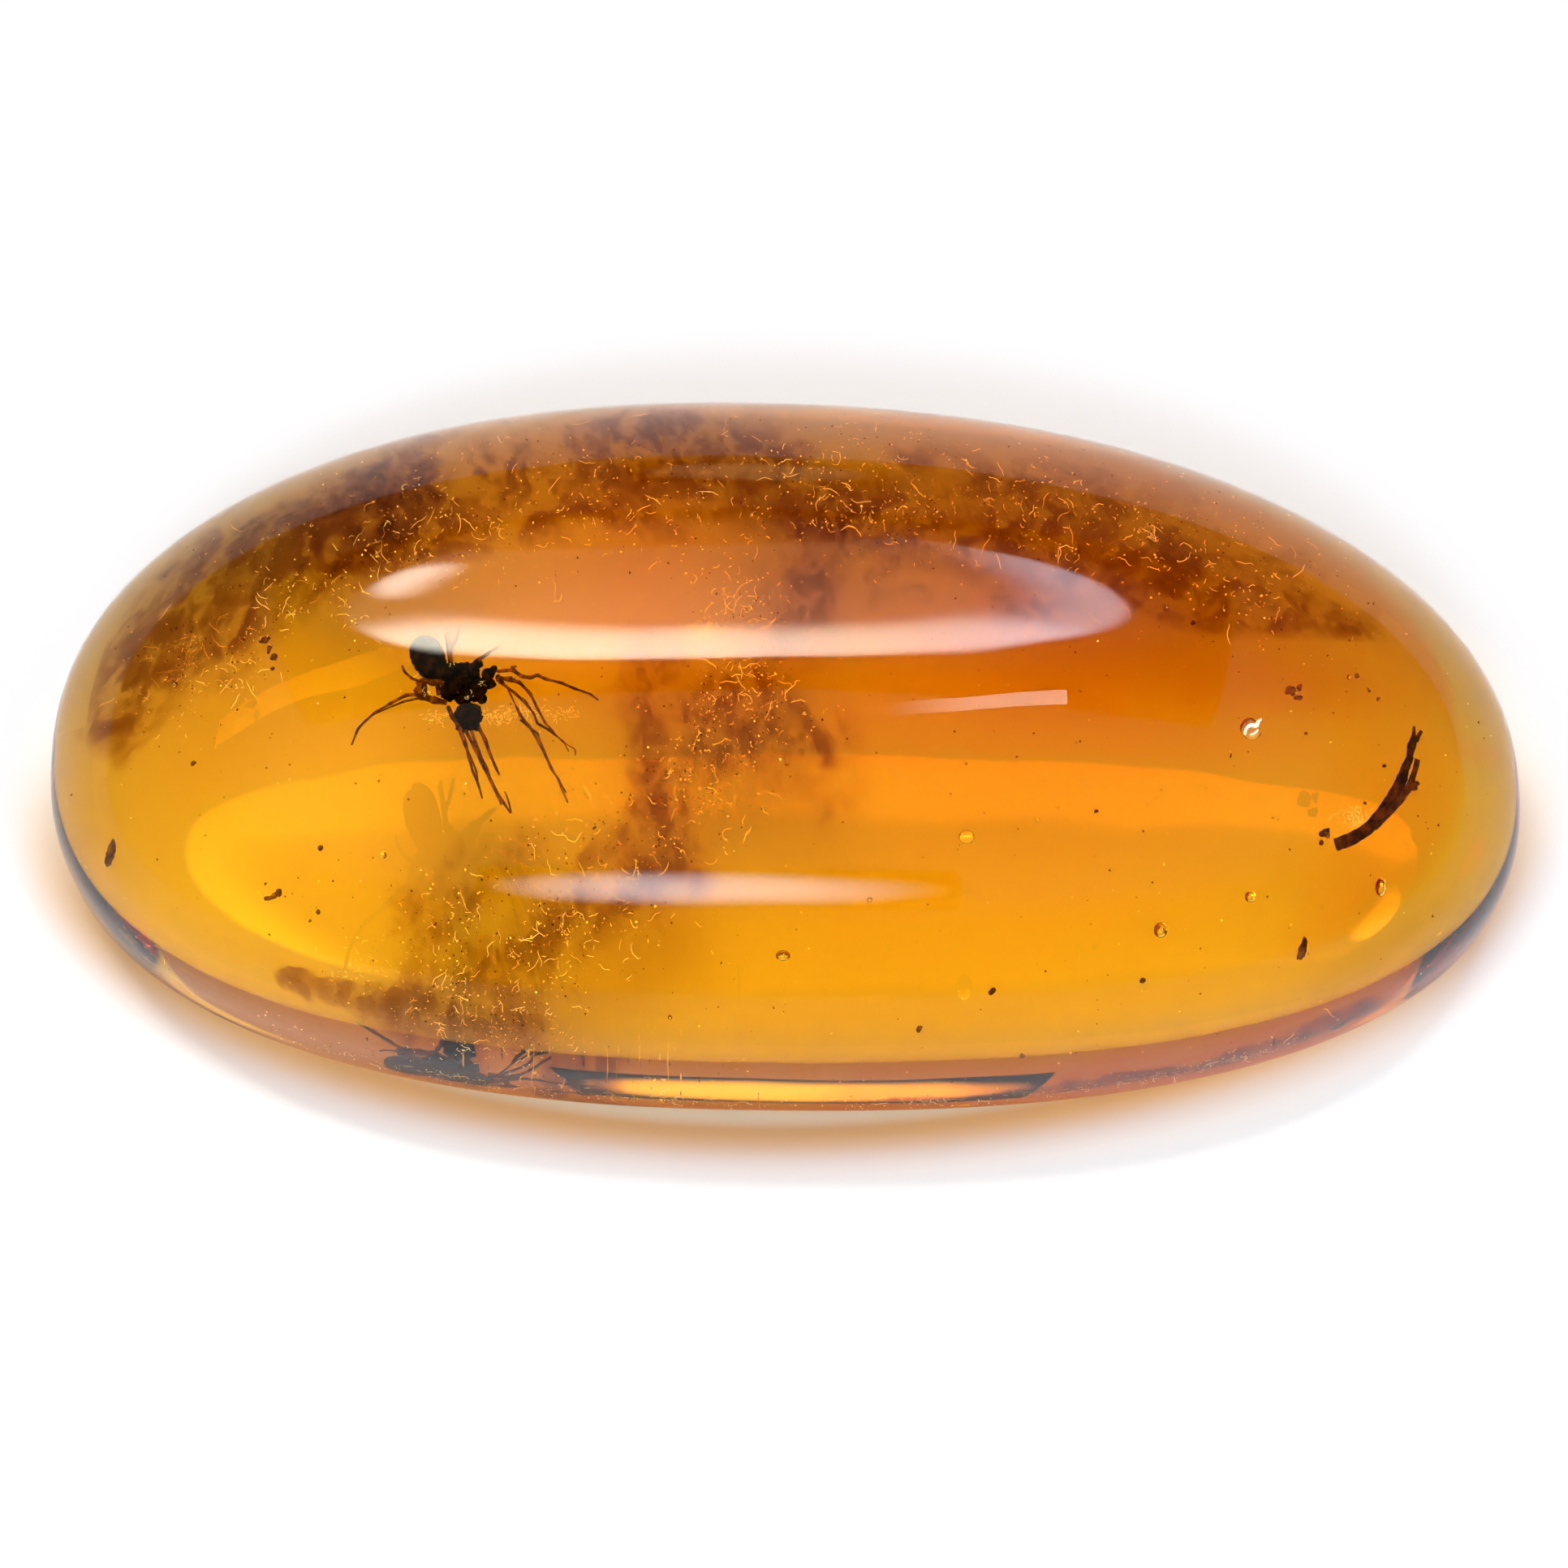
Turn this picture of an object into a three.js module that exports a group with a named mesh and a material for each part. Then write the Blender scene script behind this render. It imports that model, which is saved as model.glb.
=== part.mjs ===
// A polished amber pebble that holds an insect.
//
// The resin is one closed piece with nothing cut into it. Its outline seen from above is a long rounded
// oval, its top is a dome, and its belly is shallow and nearly flat, with a rounded edge. A flat is ground
// on the belly so that the pebble rests without rocking. Millimetres, +Z up, +X along the pebble, origin
// at the middle of the bounding box's underside.
import * as THREE from "three";
import { mergeVertices } from "three/addons/utils/BufferGeometryUtils.js";

// Driving dimensions, in millimetres.
const LENGTH = 40;
const WIDTH = 19.8;
const DOME_HEIGHT = 7.4; // from the girdle, the widest line round the pebble, up to the top
const BELLY_DEPTH = 2.5; // from the girdle down to the belly's lowest point, before the flat is ground
const GROUND_OFF = 0.25; // what grinding the flat takes off the belly
const FLAT_BLEND = 0.12; // height over which the flat rounds into the belly
const BEND = 0.83; // how far the middle lies behind the line between the two ends

// Shape numbers without a unit. An exponent of 2 is an ellipse, and a larger one is squarer.
const OUTLINE_EXPONENT = 2.26;
const DOME_EXPONENT = 2.15;
const BELLY_EXPONENT = 5;
const TAPER = -0.026; // share by which the pebble narrows towards +X
const SKEW = -0.028; // sideways shift per millimetre along the pebble

// Mesh density: steps round the pebble and steps from its top to its belly.
const STEPS_ROUND = 72;
const STEPS_DOWN = 38;

const AMBER_COLOUR = 0xe08a12;
const AMBER_ROUGHNESS = 0.06;

// How far out a unit direction goes, so that the point lies on the squared-off unit ball.
function reach(side, back, up) {
  const exponent = up > 0 ? DOME_EXPONENT : BELLY_EXPONENT;
  const outline = Math.pow(
    Math.pow(Math.abs(side), OUTLINE_EXPONENT) + Math.pow(Math.abs(back), OUTLINE_EXPONENT),
    exponent / OUTLINE_EXPONENT,
  );
  return Math.pow(outline + Math.pow(Math.abs(up), exponent), -1 / exponent);
}

// Height above the ground flat: zero on the flat, then a parabola into the untouched belly.
function groundHeight(height) {
  if (height > FLAT_BLEND) return height;
  if (height < -FLAT_BLEND) return 0;
  return (height + FLAT_BLEND) ** 2 / (4 * FLAT_BLEND);
}

// The pebble's surface point in a unit direction.
function pebblePoint(direction) {
  const out = reach(direction.x, direction.y, direction.z);
  const along = direction.x * out;
  const rise = direction.z > 0 ? DOME_HEIGHT : BELLY_DEPTH;
  const x = (along * LENGTH) / 2;
  const y =
    (direction.y * out * WIDTH * (1 + TAPER * along)) / 2 + SKEW * x + BEND * (1 - along ** 2);
  const z = groundHeight(BELLY_DEPTH + direction.z * out * rise - GROUND_OFF);
  return new THREE.Vector3(x, y, z);
}

// A unit ball with its poles turned to the top and the belly, each vertex carried out to the pebble.
function pebbleGeometry() {
  const ball = new THREE.SphereGeometry(1, STEPS_ROUND, STEPS_DOWN).rotateX(Math.PI / 2);
  ball.deleteAttribute("normal");
  ball.deleteAttribute("uv");
  const geometry = mergeVertices(ball, 1e-5);
  const places = geometry.getAttribute("position");
  const direction = new THREE.Vector3();
  for (let i = 0; i < places.count; i += 1) {
    direction.fromBufferAttribute(places, i).normalize();
    places.setXYZ(i, ...pebblePoint(direction).toArray());
  }
  geometry.computeBoundingBox();
  const middle = geometry.boundingBox.getCenter(new THREE.Vector3());
  geometry.translate(-middle.x, -middle.y, 0);
  geometry.computeVertexNormals();
  return geometry;
}

function amberMaterial() {
  return new THREE.MeshStandardMaterial({
    color: AMBER_COLOUR,
    roughness: AMBER_ROUGHNESS,
    metalness: 0,
  });
}

const amber = new THREE.Mesh(pebbleGeometry(), amberMaterial());
amber.name = "amber_pebble";

const specimen = new THREE.Group();
specimen.add(amber);

export default specimen;
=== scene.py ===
"""Insect in amber: a polished amber pebble with what the resin caught, on a pale studio floor."""
import math
import bpy
import numpy as np
from mathutils import Matrix, Vector


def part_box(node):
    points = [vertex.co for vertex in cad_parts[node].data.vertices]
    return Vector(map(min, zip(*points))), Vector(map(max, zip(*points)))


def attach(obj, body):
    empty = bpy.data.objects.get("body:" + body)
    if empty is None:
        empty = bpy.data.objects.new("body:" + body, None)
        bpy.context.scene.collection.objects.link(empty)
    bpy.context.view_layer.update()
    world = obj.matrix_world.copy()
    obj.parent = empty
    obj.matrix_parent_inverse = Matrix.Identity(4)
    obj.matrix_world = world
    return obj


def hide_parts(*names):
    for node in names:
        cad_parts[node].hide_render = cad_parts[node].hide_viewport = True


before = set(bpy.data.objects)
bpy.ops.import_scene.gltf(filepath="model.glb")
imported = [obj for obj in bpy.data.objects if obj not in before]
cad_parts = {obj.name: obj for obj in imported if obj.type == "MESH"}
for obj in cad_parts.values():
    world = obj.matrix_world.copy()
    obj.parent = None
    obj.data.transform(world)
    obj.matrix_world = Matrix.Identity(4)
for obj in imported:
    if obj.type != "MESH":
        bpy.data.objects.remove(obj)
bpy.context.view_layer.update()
scene = bpy.context.scene
MM = 0.001  # all sizes below are millimetres, and Blender's are metres


# The camera. A 100 mm lens looks steeply down at the pebble's near side, square on to its length.
CAMERA_DISTANCE = 121.4
CAMERA_HEADING = math.radians(-0.4)
CAMERA_RISE = math.radians(68)

camera = bpy.data.objects.new("camera", bpy.data.cameras.new("camera"))
camera.data.lens = 100
camera.data.sensor_width = 36
camera.data.clip_start = 1 * MM
camera.data.clip_end = 10
back_to_camera = Vector((
    math.sin(CAMERA_HEADING) * math.cos(CAMERA_RISE),
    -math.cos(CAMERA_HEADING) * math.cos(CAMERA_RISE),
    math.sin(CAMERA_RISE),
))
camera.location = back_to_camera * CAMERA_DISTANCE * MM
camera.rotation_euler = back_to_camera.to_track_quat("Z", "Y").to_euler()
scene.collection.objects.link(camera)
scene.camera = camera


# The amber. One lump of fossil resin, tumbled and polished to a glassy dome on a shallow, nearly flat
# belly. Clear, deep orange, and dark along its long light paths, because it takes out blue and green.
pebble_low, pebble_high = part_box("amber_pebble")
HALF_LENGTH = (pebble_high[0] - pebble_low[0]) / 2 / MM
HALF_WIDTH = 9.9
DOME_HEIGHT = 7.4  # from the widest line round the pebble up to its top
BELLY_DEPTH = 2.5  # from the widest line down to the belly's lowest point, before the flat is ground
GROUND_OFF = 0.25  # what grinding the flat takes off the belly
FLAT_BLEND = 0.12  # height over which the flat rounds into the belly
BEND = 0.83  # how far the middle lies behind the line between the two ends
TAPER = -0.026  # share by which the pebble narrows towards +X
SKEW = -0.028  # sideways shift per millimetre along the pebble
OUTLINE_POWER = 2.26  # 2 is an ellipse, and more is squarer
DOME_POWER = 2.15
BELLY_POWER = 5
SKIN_STEPS_ALONG = 256
SKIN_STEPS_ROUND = 360
END_GAP = 0.004  # the angle left at both ends of the pebble, which a fan of triangles closes
AMBER_INDEX = 1.54  # how strongly the resin bends light


def reach(along, across, up):
    """How far out a point is, 1 on the skin. Its two outline shares, each raised to the outline's power, are
    summed and brought to the dome's or the belly's power. The height's share, raised to that power, is added,
    and the root of it all is taken."""
    power = np.where(up > 0, DOME_POWER, BELLY_POWER)
    outline = abs(along) ** OUTLINE_POWER + abs(across) ** OUTLINE_POWER
    return (outline ** (power / OUTLINE_POWER) + abs(up) ** power) ** (1 / power)


def sideways(along):
    """Where the pebble's middle line lies from front to back: sheared evenly, and bent by a parabola."""
    return SKEW * along * HALF_LENGTH + BEND * (1 - along ** 2)


def ring_offset():
    """The middle of the outline from front to back, which the frame puts at zero: halfway between the
    furthest and the nearest point of a ring round the widest line."""
    turn = np.linspace(0, 2 * np.pi, 2000)
    out = reach(np.cos(turn), np.sin(turn), 0 * turn)
    along = np.cos(turn) / out
    across = np.sin(turn) / out
    back = across * HALF_WIDTH * (1 + TAPER * along) + sideways(along)
    return (back.max() + back.min()) / 2


MIDDLE = ring_offset()


def pebble_skin(steps_along, steps_round):
    """Rings round the pebble from its -X end to its +X end.

    Each ring is a set of unit directions pushed out to reach 1, scaled to the half sizes, narrowed along
    the length, moved to the bent middle line, and cut off level with the table with a soft edge.
    """
    tilt = np.linspace(END_GAP, np.pi - END_GAP, steps_along)[:, None]
    turn = np.linspace(0, 2 * np.pi, steps_round, endpoint=False)[None, :]
    a = -np.cos(tilt) + 0 * turn
    b = np.sin(tilt) * np.cos(turn)
    c = np.sin(tilt) * np.sin(turn)
    out = reach(a, b, c)
    along = a / out
    back = b / out * HALF_WIDTH * (1 + TAPER * along) + sideways(along) - MIDDLE
    rise = np.where(c > 0, DOME_HEIGHT, BELLY_DEPTH)
    height = BELLY_DEPTH + c / out * rise - GROUND_OFF
    blend = (height + FLAT_BLEND) ** 2 / (4 * FLAT_BLEND)
    height = np.where(height > FLAT_BLEND, height, np.where(height < -FLAT_BLEND, 0, blend))
    return np.stack([along * HALF_LENGTH, back, height], axis=-1)


def depth_share(points):
    """How far out each point lies inside the resin: 0 at the heart, 1 at the skin."""
    along = points[:, 0] / HALF_LENGTH
    across = (points[:, 1] + MIDDLE - sideways(along)) / (HALF_WIDTH * (1 + TAPER * along))
    up = points[:, 2] + GROUND_OFF - BELLY_DEPTH
    up = np.where(up > 0, up / DOME_HEIGHT, up / BELLY_DEPTH)
    return np.maximum(reach(along, across, up), 1 - points[:, 2] / BELLY_DEPTH)


def closed_skin(rings):
    """Triangles over rings of points, each joined to the next, with a fan from a pole at both ends."""
    rows, sides = rings.shape[:2]
    grid = np.arange(rows * sides).reshape(rows, sides)
    here, there = grid[:-1], grid[1:]
    quads = [here, np.roll(here, -1, 1), np.roll(there, -1, 1), there]
    a, b, c, d = (q.ravel() for q in quads)
    start = np.full(sides, rows * sides)
    end = start + 1
    faces = np.concatenate([
        np.stack([a, b, c], 1),
        np.stack([a, c, d], 1),
        np.stack([start, np.roll(grid[0], -1), grid[0]], 1),
        np.stack([end, grid[-1], np.roll(grid[-1], -1)], 1),
    ])
    poles = [rings[0].mean(axis=0), rings[-1].mean(axis=0)]
    return np.concatenate([rings.reshape(-1, 3), poles]), faces


def joined(parts):
    """Several (points, faces) pairs as one pair: points end to end, faces counted on past them."""
    counts = np.cumsum([0] + [len(points) for points, faces in parts])
    points = np.concatenate([points for points, faces in parts])
    faces = np.concatenate([faces + count for (_, faces), count in zip(parts, counts)])
    return points, faces


def add_piece(name, skin, finish, smooth=True):
    """A mesh object from a skin of points in millimetres and triangles, riding on the pebble's body."""
    points, faces = skin
    mesh = bpy.data.meshes.new(name)
    mesh.vertices.add(len(points))
    mesh.vertices.foreach_set("co", (points * MM).astype(np.float32).ravel())
    mesh.loops.add(faces.size)
    mesh.loops.foreach_set("vertex_index", faces.astype(np.int32).ravel())
    mesh.polygons.add(len(faces))
    mesh.polygons.foreach_set("loop_start", np.arange(0, faces.size, 3, dtype=np.int32))
    mesh.polygons.foreach_set("use_smooth", np.full(len(faces), smooth))
    mesh.update(calc_edges=True)
    mesh.materials.append(finish.material)
    piece = bpy.data.objects.new(name, mesh)
    scene.collection.objects.link(piece)
    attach(piece, "root")
    return piece


class Shade:
    """A node's output. A sum written with these adds the Math nodes for it."""

    def __init__(self, finish, socket):
        self.finish = finish
        self.socket = socket

    def maths(self, operation, *values):
        """One Math node on this value and others."""
        return self.finish.node("Math", {"operation": operation}, dict(enumerate(values)))

    def __add__(self, other):
        return self.maths("ADD", self, other)

    def __sub__(self, other):
        return self.maths("SUBTRACT", self, other)

    def __rsub__(self, other):
        return self.maths("SUBTRACT", other, self)

    def __mul__(self, other):
        return self.maths("MULTIPLY", self, other)

    def __truediv__(self, other):
        return self.maths("DIVIDE", self, other)

    __radd__ = __add__
    __rmul__ = __mul__

    def step(self, low, high):
        """0 below low, 1 above high, and a smooth rise between them."""
        return self.finish.node("MapRange", {"interpolation_type": "SMOOTHSTEP"}, {0: self, 1: low, 2: high})


class Finish:
    """A material, or the studio's surroundings, and the nodes that make it."""

    def __init__(self, owner, shader):
        self.material = owner
        owner.use_nodes = True
        self.tree = owner.node_tree
        self.surface = self.tree.nodes[shader]

    def node(self, kind, settings, sockets, out=0):
        """Any node: its type, its settings, then the values or links of its sockets."""
        made = self.tree.nodes.new("ShaderNode" + kind)
        for setting, value in settings.items():
            setattr(made, setting, value)
        self.feed(made, sockets)
        return Shade(self, made.outputs[out])

    def feed(self, made, sockets):
        """Sets each socket to its value, or links it where the value is another node's output."""
        for key, value in sockets.items():
            if isinstance(value, Shade):
                self.tree.links.new(value.socket, made.inputs[key])
            else:
                made.inputs[key].default_value = value

    def place(self):
        """The point being shaded, in metres in its piece's own frame."""
        return self.node("TexCoord", {}, {}, out=3)

    def noise(self, size, detail=4, roughness=0.6):
        """Soft cloudy noise from 0 to 1, with lumps about as large as size, in millimetres."""
        return self.node("TexNoise", {}, {
            "Vector": self.place(),
            "Scale": 1 / (size * MM),
            "Detail": detail,
            "Roughness": roughness,
        })

    def blend(self, share, first, second):
        """A colour between two others."""
        return self.node("Mix", {"data_type": "RGBA"}, {0: share, 6: first, 7: second}, out=2)

    def brighter(self, colour, strength):
        """A colour times a strength."""
        settings = {"data_type": "RGBA", "blend_type": "MULTIPLY"}
        return self.node("Mix", settings, {0: 1, 6: colour, 7: strength}, out=2)

    def bumps(self, height, depth):
        """A normal that follows a height pattern from 0 to 1, as deep as depth, in millimetres."""
        return self.node("Bump", {}, {"Height": height, "Strength": 1, "Distance": depth * MM})

    def stain(self, take_out):
        """Colours what the piece holds. take_out is what a metre of it takes out of red, green and blue."""
        densest = max(take_out)
        let_through = [1 - share / densest for share in take_out]
        resin = self.node("VolumeAbsorption", {}, {"Color": (*let_through, 1), "Density": densest})
        self.feed(self.tree.nodes["Material Output"], {"Volume": resin})


def amber_finish():
    """Clear polished resin, with the slow unevenness that polishing by hand leaves in the gloss."""
    finish = Finish(bpy.data.materials.new("amber"), "Principled BSDF")
    finish.feed(finish.surface, {
        "Base Color": (1, 1, 1, 1),
        "Roughness": 0.0,
        "IOR": AMBER_INDEX,
        "Transmission Weight": 1,
        "Specular Tint": (0.2, 0.2, 0.2, 1),
        "Normal": finish.bumps(finish.noise(2.5, detail=0), 0.01),
    })
    finish.stain((3, 48, 300))
    return finish


pebble_rings = pebble_skin(SKIN_STEPS_ALONG, SKIN_STEPS_ROUND)
pebble = add_piece("amber", closed_skin(pebble_rings), amber_finish())
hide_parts("amber_pebble")


# The insect. A small long-legged animal that lay on its side in the sticky resin: an egg-shaped abdomen,
# a lumpy thorax of leg roots, a small head, and thin jointed legs, all turned to dark brown film and chitin.
INSECT_HEART = np.array([-8.20, 0.26, 5.4])


NOISE_CELLS = 24
NOISE = np.random.default_rng(7).random((NOISE_CELLS, NOISE_CELLS, NOISE_CELLS))


def rough(points, size, octaves=3):
    """Lumpy noise from 0 to 1 at each point: a repeating lattice of random numbers, read with smooth steps
    between its corners, and summed over octaves that are each half as large and half as strong."""
    total, weight, share = 0, 0, 1.0
    for octave in range(octaves):
        spot = points / size * 2 ** octave + 17.3 * octave
        cell = np.floor(spot).astype(int)
        part = spot - cell
        part = part * part * (3 - 2 * part)
        value = 0
        for corner in np.ndindex(2, 2, 2):
            near = np.where(corner, part, 1 - part).prod(axis=-1)
            at = (cell + corner) % NOISE_CELLS
            value = value + near * NOISE[at[..., 0], at[..., 1], at[..., 2]]
        total = total + share * value
        weight += share
        share /= 2
    return total / weight


LUMP_END = 0.12  # the angle left at a lump's two ends, which a fan of triangles closes


def lump(centre, radii, heading=0.0, pitch=0.0, knobs=0.2, knob_size=0.25, rows=24, sides=32):
    """A rough ball: a ball with these radii, pushed out and in by noise, turned by heading about Z and
    by pitch about its own side axis, and set at its centre."""
    tilt = np.linspace(LUMP_END, np.pi - LUMP_END, rows)[:, None]
    turn = np.linspace(0, 2 * np.pi, sides, endpoint=False)[None, :]
    ball = np.stack([
        -np.cos(tilt) + 0 * turn,
        np.sin(tilt) * np.cos(turn),
        np.sin(tilt) * np.sin(turn),
    ], axis=-1) * np.array(radii)
    ball *= 1 + knobs * (rough(ball + centre, knob_size)[..., None] - 0.5) * 2
    turned = np.array(Matrix.Rotation(heading, 3, "Z") @ Matrix.Rotation(-pitch, 3, "Y"))
    points, faces = closed_skin(ball @ turned.T)
    return points + centre, faces


def round_section(middle, sides, upright=(0.1, 0.2, 1.0), start=0.0):
    """Unit arrows from each point of a path to its round section, which stands square to the path there:
    a turn of two directions, both at right angles to the path and to each other."""
    forward = np.gradient(middle, axis=-2)
    forward /= np.linalg.norm(forward, axis=-1, keepdims=True)
    side = np.cross(forward, upright)
    side /= np.linalg.norm(side, axis=-1, keepdims=True)
    lift = np.cross(forward, side)
    turn = start + np.linspace(0, 2 * np.pi, sides, endpoint=False)[:, None]
    return np.cos(turn) * side[..., None, :] + np.sin(turn) * lift[..., None, :]


def limb(route, thick, joints=0.3, sides=8, step=0.04):
    """A thin leg: a round section carried along straight stretches between the points of its route,
    tapering from its first thickness to its last, and swollen at each point, where it is jointed."""
    route = np.array(route, dtype=float)
    lengths = np.linalg.norm(np.diff(route, axis=0), axis=1)
    knees = np.concatenate([[0], np.cumsum(lengths)])
    steps = max(6, int(knees[-1] / step))
    run = np.linspace(0, knees[-1], steps)
    middle = np.stack([np.interp(run, knees, route[:, k]) for k in range(3)], axis=-1)
    middle[1:-1] = (middle[:-2] + 2 * middle[1:-1] + middle[2:]) / 4
    radius = np.interp(run, [0, knees[-1]], thick) / 2
    swell = np.exp(-(((run[:, None] - knees[None, 1:-1]) / (2.2 * step)) ** 2)).sum(axis=1)
    radius = radius * (1 + joints * swell) * (0.8 + 0.4 * rough(middle, 0.12))
    return closed_skin(middle[:, None] + round_section(middle, sides) * radius[:, None, None])


def chitin_finish(name, dark, light):
    """Old chitin: nearly black, browner where it is thin, with a fine pitted grain and hardly any gloss."""
    finish = Finish(bpy.data.materials.new(name), "Principled BSDF")
    patches = finish.noise(0.2)
    pits = finish.noise(0.05, detail=3)
    finish.feed(finish.surface, {
        "Base Color": finish.blend(patches.step(0.4, 0.75), (*dark, 1), (*light, 1)),
        "Specular IOR Level": 0.04,
        "Roughness": 0.35 + 0.35 * pits,
        "Normal": finish.bumps(pits, 0.02),
    })
    return finish


BODY_CHITIN = chitin_finish("body_chitin", (0.0015, 0.0008, 0.0005), (0.03, 0.011, 0.003))
LEG_CHITIN = chitin_finish("leg_chitin", (0.06, 0.017, 0.002), (0.4, 0.12, 0.01))


def in_insect(points):
    """Points given from the thorax's middle, carried to where the insect lies."""
    return INSECT_HEART + np.array(points)


def insect_piece(name, parts, finish):
    """One piece of the insect, from lumps or limbs."""
    add_piece(name, joined(parts), finish)


def abdomen():
    """An egg with its blunt end up: a ball whose section shrinks evenly from end to end, and a little more
    in each of the grooves between its plates, where a cosine along it is near its top."""
    half_length = 0.66
    grooves = 7
    points, faces = lump((0, 0, 0), (half_length, 0.44, 0.4), knobs=0.06, rows=72, sides=48)
    along = points[:, :1] / half_length
    groove = np.cos(along * grooves * np.pi) > 0.8
    points[:, 1:] *= 1 - 0.05 * groove - 0.12 * along
    heading = Matrix.Rotation(math.radians(-64), 3, "Z")
    pitch = Matrix.Rotation(math.radians(12), 3, "Y")
    return points @ np.array(heading @ pitch).T + in_insect((-0.98, 0.64, 0.05)), faces


insect_piece("insect_abdomen", [abdomen()], BODY_CHITIN)

# The thorax is a heap: each entry is a lump's place from the thorax's middle, and its radius.
THORAX_LUMPS = [
    (-0.45, 0.22, 0.05, 0.27), (-0.12, 0.28, 0.16, 0.24), (-0.36, -0.16, 0.0, 0.33), (0.14, 0.24, 0.05, 0.26),
    (0.22, -0.18, 0.02, 0.33), (-0.08, -0.27, -0.1, 0.27), (-0.1, 0.05, -0.12, 0.34), (0.57, 0.2, 0.0, 0.19),
    (0.62, -0.02, -0.06, 0.14), (0.42, -0.42, -0.05, 0.14), (0.3, 0.48, 0.02, 0.14), (-0.3, 0.42, 0.0, 0.14),
    (0.72, 0.33, 0.05, 0.1), (0.83, 0.1, 0.04, 0.09),
]
insect_piece("insect_thorax", [
    lump(in_insect((x, y, z)), (r, 0.9 * r, 0.8 * r), heading=5 * x + 3 * y, knobs=0.4, knob_size=0.14)
    for x, y, z, r in THORAX_LUMPS
], BODY_CHITIN)

insect_piece("insect_head", [
    lump(in_insect((0.05, -0.88, 0.0)), (0.36, 0.34, 0.32), 1.2, 0, 0.4, 0.13, rows=40, sides=48),
    lump(in_insect((-0.1, -1.08, 0.0)), (0.19, 0.13, 0.12), heading=-1.2, knobs=0.2, knob_size=0.1),
    lump(in_insect((0.26, -1.1, 0.02)), (0.18, 0.11, 0.1), heading=-1.0, knobs=0.2, knob_size=0.1),
    lump(in_insect((-0.13, -0.74, 0.16)), (0.12, 0.1, 0.1), knobs=0.1, knob_size=0.1),
    lump(in_insect((0.2, -0.7, 0.18)), (0.11, 0.1, 0.1), knobs=0.1, knob_size=0.1),
    lump(in_insect((-0.03, -0.56, 0.0)), (0.14, 0.12, 0.14), knobs=0.3, knob_size=0.1),
], BODY_CHITIN)

# Legs, feelers and stumps: the points of each one's route from the thorax's middle, and its thickness at
# both ends.
LEFT_LIMBS = [
    ([(-1.2, -0.28, 0), (-1.56, -0.33, 0.1), (-1.95, -0.52, 0.05), (-2.34, -0.71, -0.05), (-2.6, -0.9, -0.15),
      (-2.77, -1.06, -0.2), (-2.82, -1.17, -0.22), (-2.94, -1.45, -0.3)], (0.085, 0.035)),
    ([(-1.2, -0.36, -0.1), (-1.61, -0.45, -0.05), (-2.0, -0.6, -0.05), (-2.4, -0.76, -0.1)], (0.05, 0.03)),
    ([(-1.17, 0.02, 0.1), (-1.4, 0.09, 0.15), (-1.6, 0.26, 0.2), (-1.67, 0.43, 0.22)], (0.05, 0.05)),
    ([(-1.28, -0.02, 0), (-1.1, 0.06, 0.05), (-0.85, 0.0, 0.05), (-0.6, 0.02, 0)], (0.12, 0.15)),
    ([(-1.3, -0.12, 0), (-1.15, -0.32, -0.05), (-0.85, -0.42, -0.05), (-0.5, -0.52, 0)], (0.17, 0.13)),
    ([(-0.75, 0.05, -0.1), (-0.7, -0.28, -0.1)], (0.1, 0.1)),
    ([(-1.1, 0.0, -0.1), (-1.02, -0.34, -0.1)], (0.14, 0.12)),
    ([(-1.27, -0.08, 0), (-1.12, -0.3, 0.0)], (0.14, 0.13)),
]
RIGHT_LIMBS = [
    ([(0.8, 0.25, 0.1), (1.22, 0.25, 0.2), (1.42, 0.08, 0.2), (1.66, 0.02, 0.25), (1.84, 0.08, 0.3),
      (2.05, -0.02, 0.25), (2.46, -0.1, 0.15), (2.78, -0.23, 0.1), (3.22, -0.36, 0.0), (3.42, -0.5, -0.05)],
     (0.09, 0.035)),
    ([(0.8, 0.1, 0.1), (1.12, 0.0, 0.15), (1.37, -0.07, 0.2), (1.66, -0.36, 0.15), (1.85, -0.71, 0.05),
      (2.05, -1.05, -0.05), (2.27, -1.26, -0.1)], (0.085, 0.05)),
    ([(0.8, 0.05, 0), (1.27, -0.33, 0.1), (1.61, -0.67, 0.1), (1.76, -0.86, 0.08), (1.85, -1.1, 0.05),
      (2.2, -1.29, 0.0), (2.54, -1.52, -0.1), (2.66, -1.74, -0.15)], (0.07, 0.03)),
    ([(0.85, 0.1, -0.1), (1.22, -0.24, -0.1), (1.54, -0.48, -0.1), (1.76, -0.81, -0.1)], (0.05, 0.04)),
    ([(0.95, 0.0, 0.1), (1.15, -0.35, 0.1), (1.32, -0.71, 0.1)], (0.03, 0.04)),
    ([(1.32, -0.71, 0.1), (1.41, -0.9, 0.1), (1.66, -1.19, 0.05), (1.9, -1.57, 0), (2.05, -1.86, 0),
      (2.2, -2.19, -0.05), (2.39, -2.43, -0.1), (2.49, -2.71, -0.1), (2.63, -3.0, -0.15)], (0.065, 0.04)),
    ([(1.41, -0.95, -0.1), (1.61, -1.12, -0.1), (1.85, -1.29, -0.1), (2.0, -1.67, -0.1), (2.1, -1.9, -0.1),
      (2.29, -2.29, -0.1), (2.59, -2.76, -0.15)], (0.045, 0.035)),
    ([(1.9, -1.1, 0.05), (2.24, -1.29, 0), (2.49, -1.52, -0.05), (2.83, -1.71, -0.1), (2.83, -1.86, -0.1)],
     (0.035, 0.025)),
    ([(1.15, 0.3, 0.25), (1.3, 0.33, 0.25)], (0.08, 0.05)),
    ([(0.8, 0.02, 0.15), (1.2, 0.04, 0.2)], (0.1, 0.09)),
]
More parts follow.
